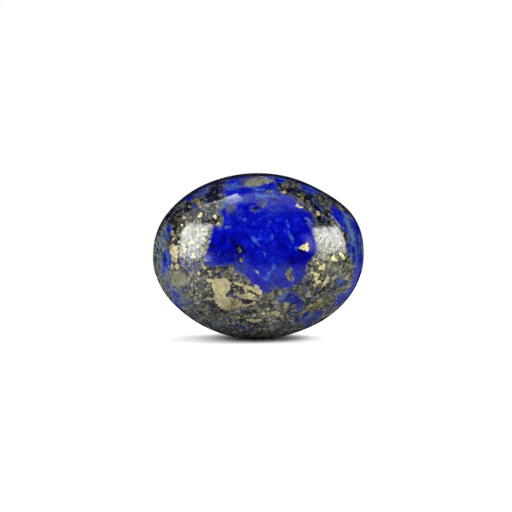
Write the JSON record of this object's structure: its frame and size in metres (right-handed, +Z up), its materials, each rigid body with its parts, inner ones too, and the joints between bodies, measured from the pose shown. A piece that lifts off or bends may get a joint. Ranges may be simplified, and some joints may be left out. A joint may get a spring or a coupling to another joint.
{
  "type": "polished lapis lazuli stone",
  "caption": "Plump oval polished gemstone, domed on both faces, standing upright on a small ground flat; a display or jewellery stone.",
  "frame": {"origin": "middle of the footprint box, on the small flat that the stone stands on", "axes": "+X along the stone's width, the longest way; -Y out of the front dome that the picture shows, so +Y is the back; +Z up"},
  "size_m": [0.025, 0.0156, 0.0195],
  "materials": {
    "polished_lapis": "polished ultramarine stone with grey-olive matrix and brassy pyrite flecks"
  },
  "bodies": {
    "root": {"lapis_lazuli": "polished_lapis"}
  },
  "joints": []
}
